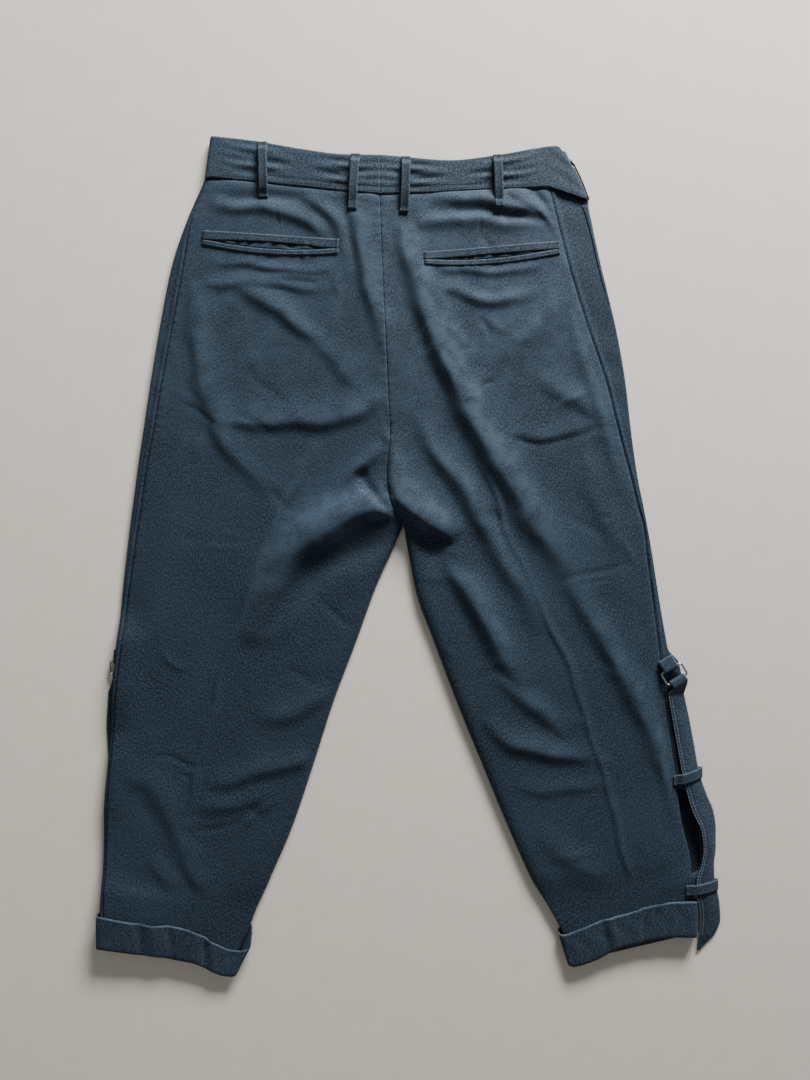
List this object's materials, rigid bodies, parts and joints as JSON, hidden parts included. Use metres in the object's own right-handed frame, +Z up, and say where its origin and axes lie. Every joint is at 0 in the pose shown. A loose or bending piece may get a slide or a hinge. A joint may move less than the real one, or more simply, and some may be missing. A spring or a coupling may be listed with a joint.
{
  "type": "bondage trousers",
  "caption": "Cropped tapered trousers with turn-up cuffs, welt back pockets and a strap down each leg, laid flat with the back upwards.",
  "frame": {"origin": "centre of the bounding box's footprint, on the surface the trousers lie on", "axes": "+Y towards the waistband, +Z up off the surface, out of the back panels; +X towards the wearer's right"},
  "size_m": [0.6748, 0.906, 0.0161],
  "materials": {
    "twill": "matt brushed twill, charcoal with a blue cast",
    "waistband_cloth": "matt twill, worn lighter",
    "trim_cloth": "matt twill of loops, welts, straps and keepers",
    "ring_wire": "dull steel wire",
    "zip_tape": "woven tape"
  },
  "bodies": {
    "root": {"back_left": "twill", "pocket_upper_welt_left": "trim_cloth", "pocket_lower_welt_left": "trim_cloth", "pocket_facing_left": "trim_cloth", "front_left": "twill", "front_pocket_edge_left": "trim_cloth", "waistband_left": "waistband_cloth", "cuff_left": "twill", "strap_ring_left": "ring_wire", "strap_tab_left": "trim_cloth", "strap_left": "trim_cloth", "back_right": "twill", "pocket_upper_welt_right": "trim_cloth", "pocket_lower_welt_right": "trim_cloth", "pocket_facing_right": "trim_cloth", "front_right": "twill", "front_pocket_edge_right": "trim_cloth", "waistband_right": "waistband_cloth", "cuff_right": "twill", "strap_ring_right": "ring_wire", "strap_tab_right": "trim_cloth", "strap_right": "trim_cloth", "belt_loop_back_left": "trim_cloth", "belt_loop_centre_left": "trim_cloth", "belt_loop_centre_right": "trim_cloth", "belt_loop_back_right": "trim_cloth", "belt_loop_front_left": "trim_cloth", "belt_loop_front_right": "trim_cloth", "keeper_upper_right": "trim_cloth", "keeper_lower_right": "trim_cloth", "keeper_upper_left": "trim_cloth", "keeper_lower_left": "trim_cloth", "fly_zip": "zip_tape", "waist_hook": "ring_wire"}
  },
  "joints": []
}
